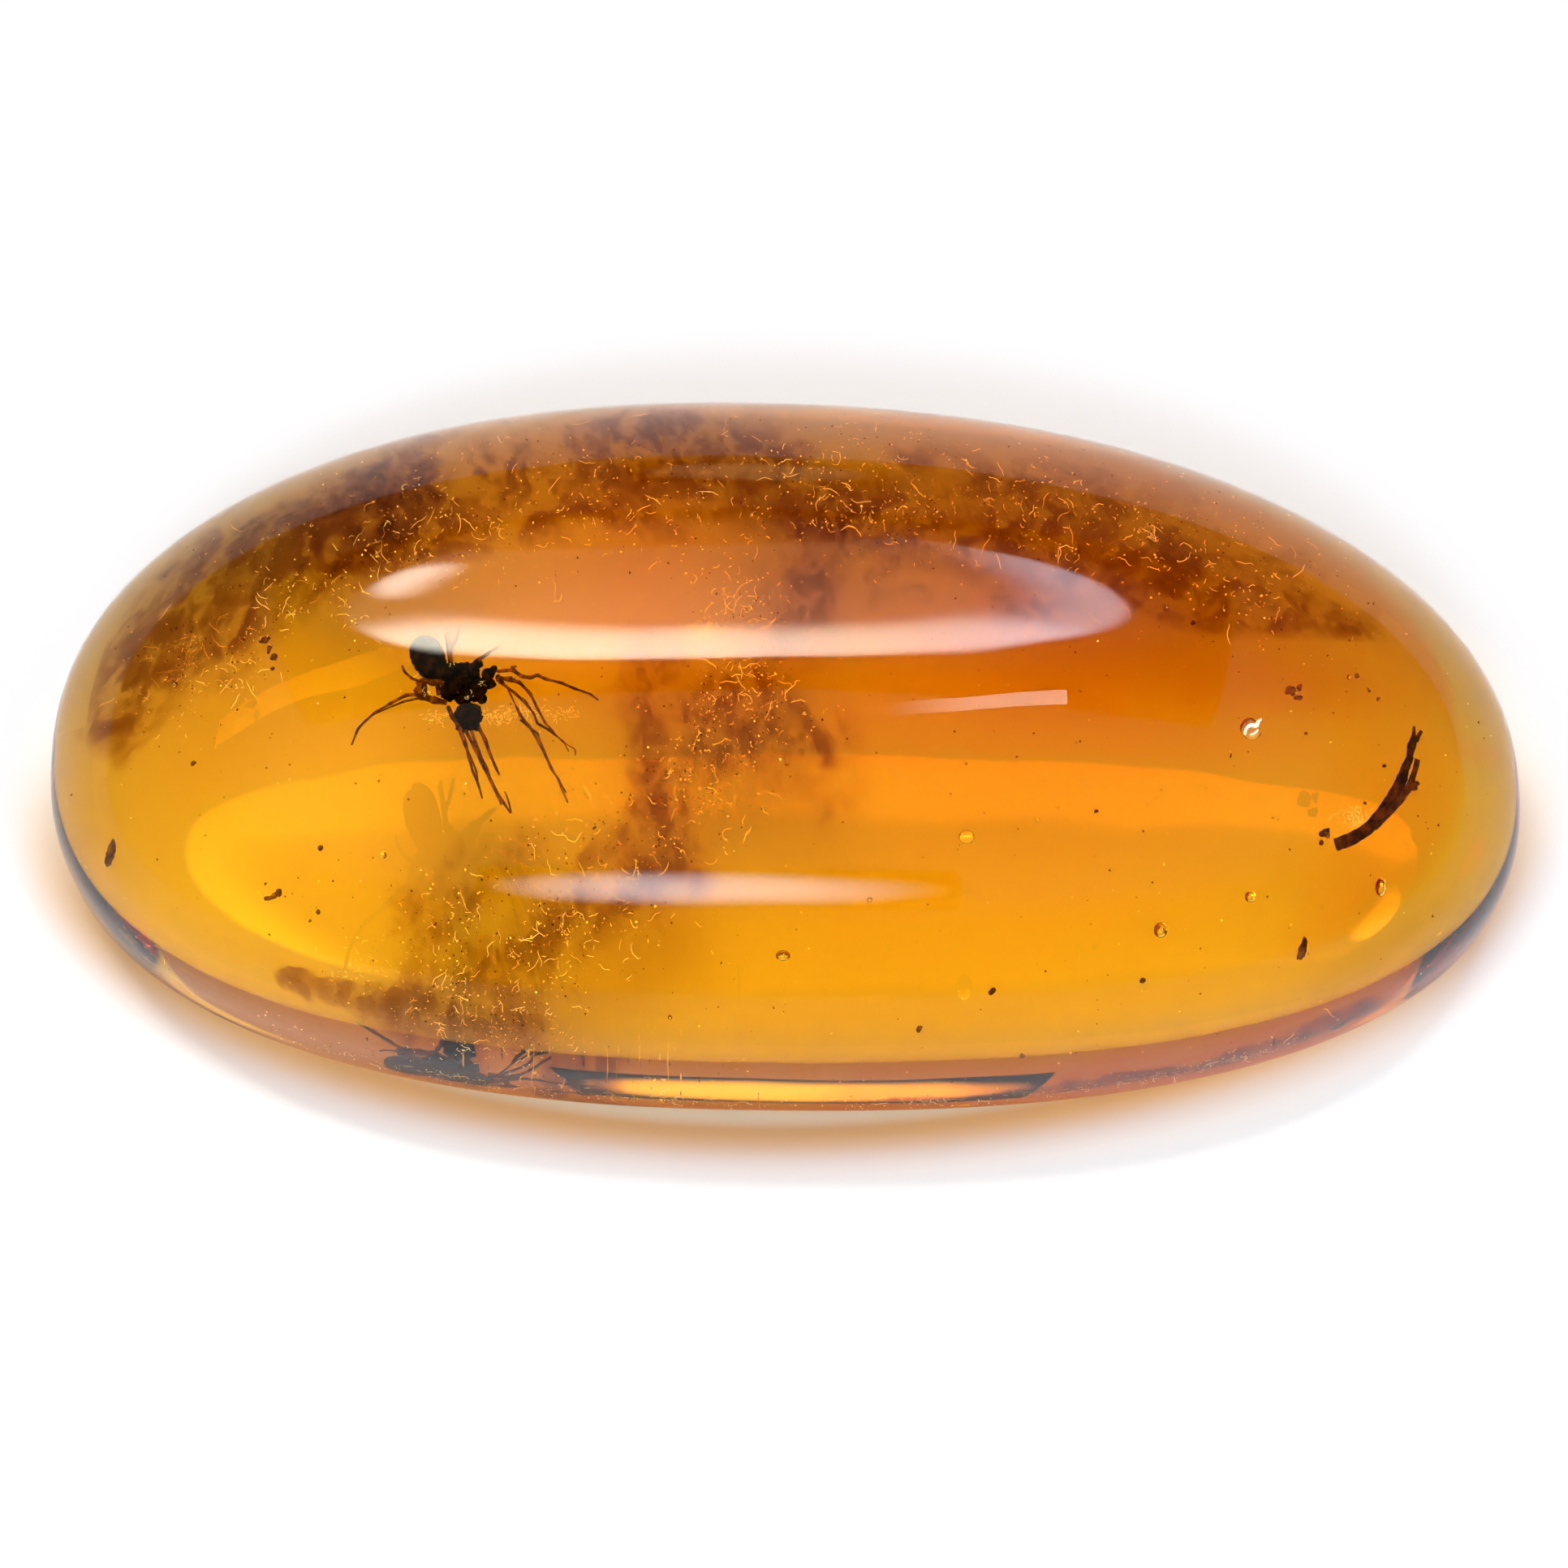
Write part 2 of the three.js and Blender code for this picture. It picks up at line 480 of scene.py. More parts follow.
NEAR_LIMBS = [
    ([(-0.46, -0.62, 0), (-0.34, -0.9, 0.05), (-0.15, -1.19, 0.1), (0.0, -1.57, 0.1), (0.1, -1.95, 0.05),
      (0.2, -2.29, 0.0), (0.34, -2.57, -0.05), (0.44, -2.9, -0.1)], (0.1, 0.04)),
    ([(-0.15, -1.24, -0.1), (-0.02, -1.57, -0.1), (0.15, -1.9, -0.1), (0.29, -2.24, -0.1),
      (0.32, -2.52, -0.1)], (0.05, 0.04)),
    ([(0.0, -1.24, 0.05), (0.24, -1.71, 0.1), (0.44, -2.14, 0.1), (0.63, -2.48, 0.05), (0.93, -3.1, 0.0)],
     (0.08, 0.045)),
    ([(0.15, -1.24, 0), (0.34, -1.76, 0), (0.54, -2.19, 0), (0.73, -2.62, -0.05), (0.98, -3.0, -0.1),
      (1.17, -3.26, -0.12)], (0.075, 0.05)),
    ([(1.02, -2.76, -0.05), (1.12, -3.0, -0.08), (1.18, -3.26, -0.12)], (0.03, 0.04)),
    ([(0.34, -1.19, 0.1), (0.51, -1.52, 0.12), (0.63, -1.86, 0.1), (0.78, -2.19, 0.08), (0.88, -2.38, 0.05)],
     (0.1, 0.045)),
]
FAR_LIMBS = [
    ([(-0.4, 0.5, 0.1), (-0.46, 0.95, 0.2), (-0.54, 1.29, 0.25)], (0.13, 0.09)),
    ([(-0.4, 0.85, 0.18), (-0.28, 1.1, 0.25), (-0.2, 1.38, 0.3)], (0.08, 0.06)),
    ([(0.3, 0.55, 0.1), (0.63, 0.76, 0.2), (0.83, 0.88, 0.25)], (0.12, 0.06)),
]
LIMB_STOUTNESS = 1.15  # how much stouter every limb is than its entry says
for name, limbs in (("left", LEFT_LIMBS), ("right", RIGHT_LIMBS), ("near", NEAR_LIMBS), ("far", FAR_LIMBS)):
    insect_piece("insect_limbs_" + name, [
        limb(in_insect(route), LIMB_STOUTNESS * np.array(thick)) for route, thick in limbs
    ], LEG_CHITIN)


# The twig. Two charred, half-split strands of plant stem with a blunt broken end and a frayed tip.
TWIG_END = np.array([14.16, -3.47, 4.0])


def stem(route, thick, sides=20, step=0.03):
    """A stem: a round section on a route that is smoothed by averaging each point with its neighbours, with
    its bark pushed out and in by noise. thick is its thickness at even steps along it."""
    route = np.array(route, dtype=float)
    knots = np.concatenate([[0], np.cumsum(np.linalg.norm(np.diff(route, axis=0), axis=1))])
    run = np.linspace(0, knots[-1], max(10, int(knots[-1] / step)))
    middle = np.stack([np.interp(run, knots, route[:, k]) for k in range(3)], axis=-1)
    for _ in range(6):
        middle[1:-1] = (middle[:-2] + 2 * middle[1:-1] + middle[2:]) / 4
    radius = np.interp(run, np.linspace(0, knots[-1], len(thick)), thick) / 2
    rings = round_section(middle, sides)
    bark = 0.75 + 0.5 * rough(middle[:, None] + 4 * rings * radius[:, None, None], 0.16)
    return closed_skin(middle[:, None] + rings * (radius[:, None] * bark)[..., None])


def bark_finish(name, dark, light):
    """Charred bark: dark brown with reddish wear and fine pale scale."""
    finish = Finish(bpy.data.materials.new(name), "Principled BSDF")
    patches = finish.noise(0.3)
    scale = finish.noise(0.05, detail=3)
    colour = finish.blend(patches.step(0.35, 0.7), (*dark, 1), (*light, 1))
    colour = finish.blend(scale.step(0.6, 0.72) * 0.6, colour, (0.2, 0.1, 0.04, 1))
    finish.feed(finish.surface, {
        "Base Color": colour,
        "Specular IOR Level": 0.05,
        "Roughness": 0.75,
        "Normal": finish.bumps(scale, 0.03),
    })
    return finish


BARK = bark_finish("bark", (0.015, 0.005, 0.002), (0.13, 0.04, 0.009))
STEM_STOUTNESS = 1.15  # how much stouter every strand is than its entry says
# The two strands and their broken tips: the points of each one's route from the blunt end, and its
# thickness at even steps along it.
TWIG_STRANDS = [
    ([(0, 0, 0), (0.45, 0.16, 0), (0.82, 0.35, 0.05), (1.14, 0.64, 0.1), (1.46, 1.06, 0.1),
      (1.76, 1.49, 0.15), (1.89, 1.84, 0.2), (2.05, 2.15, 0.2)], (0.24, 0.26, 0.26, 0.24, 0.26, 0.24, 0.16)),
    ([(2.0, 2.1, 0.2), (2.1, 2.45, 0.22), (2.2, 2.66, 0.25)], (0.13, 0.2, 0.16)),
    ([(2.14, 2.5, 0.22), (2.17, 2.75, 0.28), (2.19, 2.92, 0.3)], (0.14, 0.1, 0.07)),
    ([(2.2, 2.55, 0.22), (2.3, 2.7, 0.25), (2.38, 2.82, 0.26)], (0.14, 0.1, 0.08)),
    ([(1.0, 0.4, 0.1), (1.46, 0.77, 0.15), (1.78, 1.09, 0.2), (2.0, 1.36, 0.25), (2.1, 1.62, 0.25),
      (2.18, 1.84, 0.25), (2.24, 2.05, 0.28)], (0.18, 0.16, 0.16, 0.17, 0.14, 0.12)),
]
twig = [stem(TWIG_END + np.array(route), STEM_STOUTNESS * np.array(thick)) for route, thick in TWIG_STRANDS]
twig.append(lump(TWIG_END + (2.12, 1.36, 0.25), (0.12, 0.1, 0.1), knobs=0.4, knob_size=0.08))
twig.append(lump(TWIG_END + (2.2, 1.44, 0.25), (0.08, 0.07, 0.07), knobs=0.4, knob_size=0.08))
add_piece("twig", joined(twig), BARK)


# Crumbs. Splinters and grains of bark that fell in with the insect, set as they sank.
# Each is its X, Y and Z, its length, its width, and its heading in degrees.
CRUMBS = [
    (13.34, -5.48, 3.0, 0.62, 0.19, 72), (-17.37, -2.78, 2.6, 0.5, 0.24, 70),
    (-13.22, -4.05, 3.0, 0.32, 0.14, 20), (-12.98, -3.93, 3.05, 0.16, 0.14, 60),
    (-12.83, -4.02, 3.0, 0.07, 0.06, 0), (-13.35, 2.2, 3.0, 0.26, 0.2, 40),
    (-13.28, 1.95, 3.0, 0.22, 0.12, 80), (-13.12, 1.72, 3.0, 0.2, 0.16, 120),
    (-13.16, 1.45, 3.0, 0.12, 0.1, 0), (13.89, -3.18, 4.0, 0.24, 0.16, 30),
    (13.78, -3.4, 4.0, 0.14, 0.12, 60), (13.98, -3.3, 4.1, 0.1, 0.09, 0),
    (-11.89, -2.91, 3.0, 0.12, 0.11, 0), (-11.98, -4.39, 3.0, 0.11, 0.1, 0),
    (-12.2, -4.6, 3.0, 0.08, 0.07, 0),
    (3.5, -7.37, 3.0, 0.2, 0.13, 60), (5.34, -6.4, 3.0, 0.18, 0.13, 20), (6.17, -8.33, 3.0, 0.17, 0.16, 0),
    (9.21, -6.18, 3.0, 0.13, 0.1, 0), (8.03, -2.25, 3.0, 0.14, 0.09, 10), (-15.25, -1.18, 4.0, 0.14, 0.1, 20),
    (13.05, 0.35, 4.0, 0.3, 0.24, 20), (13.3, 0.42, 4.1, 0.2, 0.16, 70), (13.25, 0.15, 4.0, 0.24, 0.14, 10),
    (14.9, 0.55, 5.0, 0.14, 0.1, 60), (15.2, 0.2, 5.0, 0.16, 0.08, 120), (15.45, -0.05, 5.0, 0.12, 0.08, 40),
    (15.5, -1.65, 4.4, 0.13, 0.09, 10), (14.95, -2.45, 4.0, 0.1, 0.08, 0), (13.45, -0.9, 4.5, 0.1, 0.08, 0),
    (11.5, -1.95, 6.0, 0.16, 0.05, 80), (10.6, 1.95, 4.5, 0.16, 0.12, 30), (-4.9, -2.9, 4.0, 0.14, 0.05, 30),
]
CRUMB_BARK = bark_finish("crumb_bark", (0.05, 0.02, 0.006), (0.35, 0.14, 0.04))
add_piece("crumbs", joined([
    lump(np.array((x, y, z)), (long / 2, wide / 2, wide / 2.4), math.radians(turn), 0.2, 0.9, 0.12, 18, 20)
    for x, y, z, long, wide, turn in CRUMBS
]), CRUMB_BARK)


# Dust. Thousands of specks too small to tell what they are, thinly spread through the resin, and thick in
# the far side, across the middle and along the near edge, where the smoke lies too.
def scattered(rng, count, keep=0.96):
    """Random points spread evenly through the resin, kept clear of its skin."""
    low = np.array([-HALF_LENGTH, -HALF_WIDTH - 1, 0.1])
    high = np.array([HALF_LENGTH, HALF_WIDTH + 1, BELLY_DEPTH + DOME_HEIGHT])
    points = low + (high - low) * rng.random((count, 3))
    return points[depth_share(points) < keep]


def grains(rng, centres, sizes, stretch=1.0, level=0.0):
    """A four-sided grain at each centre: the corners of a small pyramid, stretched along one side, turned at
    random, and flattened towards level by its share."""
    corners = np.array([(1, 1, 1), (-1, -1, 1), (-1, 1, -1), (1, -1, -1)]) / math.sqrt(3)
    faces = np.array([(0, 2, 1), (0, 1, 3), (0, 3, 2), (1, 2, 3)])
    spin = rng.normal(size=(len(centres), 4))
    w, x, y, z = (spin / np.linalg.norm(spin, axis=1, keepdims=True)).T
    turned = np.stack([
        np.stack([1 - 2 * (y * y + z * z), 2 * (x * y - w * z), 2 * (x * z + w * y)], -1),
        np.stack([2 * (x * y + w * z), 1 - 2 * (x * x + z * z), 2 * (y * z - w * x)], -1),
        np.stack([2 * (x * z - w * y), 2 * (y * z + w * x), 1 - 2 * (x * x + y * y)], -1),
    ], -2)
    shape = corners * (stretch, 1, 1)
    points = np.einsum("nij,kj->nki", turned, shape) * sizes[:, None, None]
    points[..., 2] *= 1 - level
    points = points + centres[:, None]
    every = faces[None] + 4 * np.arange(len(centres))[:, None, None]
    return points.reshape(-1, 3), every.reshape(-1, 3)


def along_route(rng, route, count, clump, least=0.4, flat=0.4):
    """Random points gathered round a route of x, y, z and spread: bell curves across it, flatter in height,
    kept where lumpy noise is high."""
    route = np.array(route, dtype=float)
    spot = rng.random(count) * (len(route) - 1)
    knots = np.arange(len(route))
    x, y, z, spread = (np.interp(spot, knots, column) for column in route.T)
    strays = rng.normal(size=(count, 3)) * (0.6, 0.6, 0.6 * flat)
    points = np.stack([x, y, z], axis=-1) + spread[:, None] * strays
    keep = rng.random(count) < np.clip((rough(points, clump, octaves=4) - least) * 4, 0, 1)
    points = points[keep & (points[:, 2] > 0.2)]
    return points[depth_share(points) < 0.95]


FAR_ROUTE = [
    (-16.5, 1.0, 3.0, 1.2), (-13, 3.0, 3.8, 1.6), (-8, 5.0, 3.9, 1.9),
    (0, 5.8, 4, 1.9), (6, 5.2, 4, 2.0), (14, 2.6, 3.8, 1.4),
]
MIDDLE_ROUTE = [
    (-1, 3, 3.4, 1.2), (-1, 0, 3.2, 1.8), (-3.4, -3, 3, 1.6), (-7, -5, 2.6, 2.0), (-9, -6.2, 2.2, 1.6),
]
FRONT_ROUTE = [
    (-14, -6.2, 1, 0.6), (-8, -8.2, 0.9, 0.6), (0, -9.0, 0.9, 0.5), (8, -8.4, 0.9, 0.6), (14, -6.6, 1, 0.6),
]
ROUTE_CLUMP = 0.7  # how wide the clumps are that dust and gold gather in
rng = np.random.default_rng(11)
specks = np.concatenate([
    scattered(rng, 2600),
    along_route(rng, FAR_ROUTE, 3000, ROUTE_CLUMP),
    along_route(rng, MIDDLE_ROUTE, 4000, ROUTE_CLUMP),
    along_route(rng, FRONT_ROUTE, 1500, ROUTE_CLUMP),
])
speck_sizes = 0.01 + 0.03 * rng.random(len(specks)) ** 4
add_piece("dust", grains(rng, specks, speck_sizes, stretch=1.4), CRUMB_BARK, smooth=False)


# Bubbles. Air trapped in the resin, seen as rings because the light turns back at their skins.
def clear_finish(name, index):
    """Something clear inside the resin, which bends light by its own index over the resin's."""
    finish = Finish(bpy.data.materials.new(name), "Principled BSDF")
    finish.feed(finish.surface, {
        "Base Color": (1, 1, 1, 1),
        "Roughness": 0.0,
        "IOR": index,
        "Transmission Weight": 1,
    })
    return finish


BUBBLE = clear_finish("bubble", 1 / AMBER_INDEX)
# Each is its X, Y and Z, and its three radii.
BUBBLES = [
    (11.95, -4.47, 3.5, 0.14, 0.13, 0.13), (9.65, -5.23, 3.5, 0.18, 0.18, 0.17),
    (15.35, -4.28, 3.5, 0.15, 0.22, 0.15), (-0.05, -5.74, 3.5, 0.19, 0.12, 0.12),
    (-10.3, -3.5, 4.0, 0.08, 0.08, 0.08), (14.7, 0.5, 5.0, 0.07, 0.08, 0.07),
    (2.2, -4.2, 3.0, 0.07, 0.06, 0.06), (-15.8, 0.9, 4.0, 0.08, 0.08, 0.08),
    (6.5, -3.0, 4.5, 0.05, 0.05, 0.05), (-3.0, -7.0, 3.0, 0.06, 0.06, 0.06),
    (4.7, -2.8, 3.0, 0.2, 0.16, 0.05),
]
add_piece("bubbles", joined([
    lump(np.array((x, y, z)), (a, b, c), knobs=0.0, rows=20, sides=24) for x, y, z, a, b, c in BUBBLES
]), BUBBLE)


# The split. A flat split just under the dome's right shoulder, dark round its rim, with an S-shaped painted
# # highlight over it: thin glowing tubes that stand in for the lights it throws back.
SPLIT_MIDDLE = np.array([12.07, -1.58, 7.2])


def painted_glint_finish(name, colour, metallic, roughness, shine, strength):
    """The bright face of a split in the resin: metal-like, with a painted glow of its own that stands in
    for the light it gathers.
    """
    finish = Finish(bpy.data.materials.new(name), "Principled BSDF")
    finish.feed(finish.surface, {
        "Base Color": (*colour, 1),
        "Metallic": metallic,
        "Roughness": roughness,
        # painted light: the face glows though it is no lamp
        "Emission Color": (*shine, 1),
        "Emission Strength": strength,
    })
    finish.material.cycles.emission_sampling = "NONE"  # too faint to light anything else
    return finish


PAINTED_SPLIT_HIGHLIGHT = painted_glint_finish("painted_split_highlight", (1, 0.98, 0.95), 1, 0.25, (1, 0.95, 0.9), 0.9)


add_piece("split", lump(SPLIT_MIDDLE, (0.27, 0.3, 0.1), 0.4, 0.0, 0.15, 0.2), BUBBLE)
# painted highlight: the S-shaped glint is glowing tubes, not a reflection
add_piece("painted_split_highlight", joined([
    limb(SPLIT_MIDDLE + np.array(route), thick, joints=0.0)
    for route, thick in (
        ([(-0.16, -0.2, 0.12), (-0.12, -0.02, 0.13), (0.02, 0.08, 0.14), (0.16, 0.04, 0.13)], (0.06, 0.12)),
        ([(0.16, 0.04, 0.13), (0.2, 0.16, 0.13), (0.3, 0.24, 0.12)], (0.12, 0.05)),
        ([(-0.02, -0.2, 0.13), (0.12, -0.16, 0.13), (0.2, -0.06, 0.13)], (0.04, 0.05)),
    )
]), PAINTED_SPLIT_HIGHLIGHT)


# Clouds. Brown smoke that the resin carried as it flowed: a band under the far side, a slanting cloud across
# the middle, a smoky left end and a haze in the near edge. A clearer, redder flow lies over the far half.
# Each is a lens of stained resin, thick where the stain is thick.
SMOKE_CELL = 0.08  # how fine the smoke's mesh is
FLOW_CELL = 0.12
LEAST_SMOKE = 0.01  # what is thinner than this isn't made
SMOKE_MARGIN = 0.92  # how far out towards the skin the smoke may reach
SMOKE_ABOVE = 0.6  # how much of a lens's thickness lies above its middle
SIDE_FADE = 14  # over one part in this many of its width, smoke thins out to nothing at both sides
BED_WAVE = 0.5  # how much a lens's middle waves up and down


def tint_finish(name, take_out):
    """Stained resin that bends light as the resin does, so that its colour shows and its skin never does."""
    finish = clear_finish(name, 1.0)
    finish.stain(take_out)
    return finish


SMOKE = tint_finish("smoke", (1800, 2900, 4400))
ORANGE = tint_finish("orange_flow", (6, 170, 260))


def stroke(x, y, route, amount):
    """A soft brush stroke: how strong it is at x and y. It is one less the gap to its route's nearest
    stretch over the half width there, eased at both ends. The route is points of x, y and half width."""
    route = np.array(route, dtype=float)
    best = np.zeros_like(x)
    for (ax, ay, aw), (bx, by, bw) in zip(route[:-1], route[1:]):
        share = ((x - ax) * (bx - ax) + (y - ay) * (by - ay)) / ((bx - ax) ** 2 + (by - ay) ** 2)
        share = np.clip(share, 0, 1)
        gap = np.hypot(x - ax - share * (bx - ax), y - ay - share * (by - ay))
        best = np.maximum(best, 1 - gap / (aw + share * (bw - aw)))
    best = np.clip(best, 0, 1)
    return amount * best * best * (3 - 2 * best)


def wisps(x, y, size, seed):
    """Curdled noise from 0 to 1: lumpy noise read where a second, slower noise has pushed the point. It is
    read twice, at two slants, so that its own grid never shows."""
    spot = np.stack([0.8 * x - 0.6 * y, 0.6 * x + 0.8 * y, 0 * x + seed], axis=-1)
    push = np.stack([rough(spot + 5, size * 1.5), rough(spot + 9, size * 1.5), 0 * x], axis=-1)
    spot = spot + (push - 0.5) * size * 4
    u, v = spot[..., 0], spot[..., 1]
    slant = np.stack([0.5 * (u - v), 0.87 * u + 0.5 * v, 0 * x], axis=-1)
    both = rough(spot, size, octaves=5) + rough(slant + 3, size, octaves=5)
    return np.clip(2.8 * both - 2.3, 0, 1)


FIRST, LAST = slice(None, -1), slice(1, None)
QUAD_CORNERS = [(FIRST, FIRST), (LAST, FIRST), (LAST, LAST), (FIRST, LAST)]


def cloud(name, finish, x_span, y_span, height, depth, cell=SMOKE_CELL):
    """Lenses of smoke over a stretch of the pebble. Its slices run along Y, kept inside the resin by solving
    the skin's formula for the room to each side. depth gives how thick the smoke is at x and y, and height
    where its middle lies. Its two skins share their points wherever it thins out to nothing, and have no
    faces beyond."""
    rows = int((x_span[1] - x_span[0]) / cell)
    cells = int((y_span[1] - y_span[0]) / cell)
    x = np.linspace(*x_span, rows)[:, None]
    rise = height - BELLY_DEPTH
    up = rise / DOME_HEIGHT if rise > 0 else -rise / BELLY_DEPTH
    power = DOME_POWER if rise > 0 else BELLY_POWER
    along = x / HALF_LENGTH
    least = 0.02
    room = (SMOKE_MARGIN ** power - up ** power) ** (OUTLINE_POWER / power) - abs(along) ** OUTLINE_POWER
    room = np.maximum(room, least ** 2) ** (1 / OUTLINE_POWER) * HALF_WIDTH * (1 + TAPER * along)
    middle = sideways(along) - MIDDLE
    low = np.clip(y_span[0], middle - room, middle + room - least)
    high = np.clip(y_span[1], low + least, middle + room)
    share = np.linspace(0, 1, cells)[None, :]
    y = high + (low - high) * share
    x = x + 0 * y
    edge = np.clip(SIDE_FADE * np.minimum(share, 1 - share), 0, 1)
    thick = depth(x, y) * edge
    thick[thick < LEAST_SMOKE] = 0
    thick[[0, -1]] = 0
    bed = height + BED_WAVE * (rough(np.stack([x, y, 0 * x], axis=-1), 4.0) - 0.5)
    over = np.stack([x, y, bed + SMOKE_ABOVE * thick], axis=-1)
    under = np.stack([x, y, bed - (1 - SMOKE_ABOVE) * thick], axis=-1)
    points = np.concatenate([over.reshape(-1, 3), under.reshape(-1, 3)])
    top = np.arange(thick.size).reshape(thick.shape)
    bottom = np.where(thick > 0, top + thick.size, top)
    a, b, c, d = (top[corner].ravel() for corner in QUAD_CORNERS)
    e, f, g, h = (bottom[corner].ravel() for corner in QUAD_CORNERS)
    faces = np.concatenate([
        np.stack([a, d, c], 1),
        np.stack([a, c, b], 1),
        np.stack([e, g, h], 1),
        np.stack([e, f, g], 1),
    ])
    faces = faces[thick.ravel()[faces % thick.size].max(axis=1) > 0]
    used, faces = np.unique(faces, return_inverse=True)
    add_piece(name, (points[used], faces.reshape(-1, 3)), finish, smooth=False)


def smoky(shape, curds, fine, sharpness, gaps, thickness):
    """How thick the smoke is: the strokes times sharpness, less gaps where the curds are thin, cut off at 0
    and 1 and eased, and then given a fine relief."""
    body = np.clip(shape * sharpness - (1 - curds) * gaps, 0, 1)
    return thickness * body ** 1.2 * (0.35 + 1.2 * fine)


def middle_depth(x, y):
    """The slanting cloud: six strokes, with curds drawn out along the slant."""
    shape = np.max([
        stroke(x, y, [(-3.2, 1.2, 1.8), (-1.4, 0.0, 2.6), (0.4, -0.8, 2.2)], 0.9),
        stroke(x, y, [(-1.0, 0.8, 1.6), (0.0, 3.0, 1.8), (2.5, 4.5, 1.8)], 0.6),
        stroke(x, y, [(-3.4, 0.6, 1.2), (-3.2, -1.4, 1.7), (-2.8, -3.0, 1.3)], 1.0),
        stroke(x, y, [(-3.0, -1.8, 1.6), (-5.5, -2.4, 2.2), (-9.2, -3.8, 2.7)], 0.46),
        stroke(x, y, [(-2.4, -2.6, 1.4), (-4.5, -3.8, 1.7), (-7.6, -5.4, 1.9), (-9.6, -6.4, 1.7)], 0.75),
        stroke(x, y, [(-12.8, -5.3, 0.6), (-10.8, -6.0, 0.9), (-8.4, -6.5, 1.3), (-6.8, -6.9, 1.1)], 1.2),
    ], axis=0)
    slant, over = 0.8 * x + 0.6 * y, 0.8 * y - 0.6 * x
    curds = wisps(0.8 * slant, over, 1.2, 3.0)
    return smoky(shape, curds, wisps(0.8 * slant, over, 0.28, 5.0), 1.7, 1.0, 0.3)


def far_depth(x, y):
    """The band under the far side: one stroke, with curds drawn out along it."""
    shape = stroke(x, y, [
        (-11.5, 5.0, 2.2), (-8, 6.0, 2.4), (-3, 6.3, 2.2), (0, 5.5, 2.0),
        (4, 4.8, 2.4), (8, 4.0, 2.7), (12, 3.0, 2.4), (14.5, 1.9, 1.8),
    ], 1.0)
    return smoky(shape, wisps(x * 0.6, y, 1.0, 11.0), wisps(x * 0.7, y, 0.28, 13.0), 1.9, 0.85, 0.34)


def left_depth(x, y):
    """The smoky left end: one stroke along the skin, with curds drawn out along it."""
    shape = stroke(x, y, [
        (-17.4, 0.0, 1.7), (-16.6, 1.5, 2.5), (-15.5, 2.5, 3.2),
        (-13.6, 3.7, 3.2), (-11.6, 4.8, 2.7), (-9.8, 5.6, 1.8),
    ], 1.0)
    slant, over = 0.7 * (x + y), 0.7 * (y - x)
    curds = wisps(slant * 0.6, over, 1.2, 23.0)
    return smoky(shape, curds, wisps(slant * 0.6, over, 0.3, 29.0), 1.7, 0.6, 0.38)


def front_depth(x, y):
    """The haze in the near edge: two thin strokes."""
    shape = np.maximum(
        stroke(x, y, [(1.0, -9.0, 0.6), (6, -8.7, 1.0), (11, -7.6, 1.0), (15, -5.8, 0.7)], 1.0),
        stroke(x, y, [(-11, -7.6, 0.6), (-7, -8.6, 0.9), (-3.5, -9.0, 0.6)], 0.5),
    )
    return smoky(shape, wisps(x * 0.7, y, 0.8, 37.0), wisps(x * 0.7, y, 0.28, 43.0), 2.0, 0.8, 0.3)


def flow_depth(x, y):
    """The redder flow: it eases in behind a wavy line across the pebble, fades out towards the left, and
    has a stroke of its own in the right end."""
    front = (y + 1.6 - 0.05 * x) / 2.6 + 0.9 * (wisps(x * 0.3, y, 2.0, 31.0) - 0.5)
    front = np.clip(front, 0, 1)
    front = front * front * (3 - 2 * front)
    front = front * np.clip((x + 11.0) / 7.0, 0, 1) * np.clip(0.6 + 0.05 * x, 0.6, 1)
    right_end = stroke(x, y, [(14.5, -6.5, 2.5), (16.5, -3.5, 4.0), (17.0, 1.0, 4.5), (14.0, 4.0, 4.0)], 1.0)
    return np.maximum(2.2 * front, 1.3 * right_end)


cloud("cloud_middle", SMOKE, (-14.0, 5.0), (-7.4, 5.8), 2.0, middle_depth)
cloud("cloud_far", SMOKE, (-14.5, 16.5), (2.0, 8.8), 2.3, far_depth)
cloud("cloud_left", SMOKE, (-19.2, -7.5), (-4.0, 7.5), 3.6, left_depth)
cloud("cloud_front", SMOKE, (-11.5, 15.5), (-9.6, -5.2), 1.0, front_depth)
cloud("orange_flow", ORANGE, (-12.0, 19.2), (-7.5, 8.8), 4.6, flow_depth, cell=FLOW_CELL)


# Spangles. Hair cracks and tiny splits in the resin that catch the light as golden threads and points, and
# also glow with painted light of their own.
# painted light: gold flakes that reflect like metal and also glow, though they are no lamp
GOLD = painted_glint_finish("gold_painted_glint", (1.0, 0.75, 0.4), 0.9, 0.35, (1.0, 0.95, 0.75), 0.6)


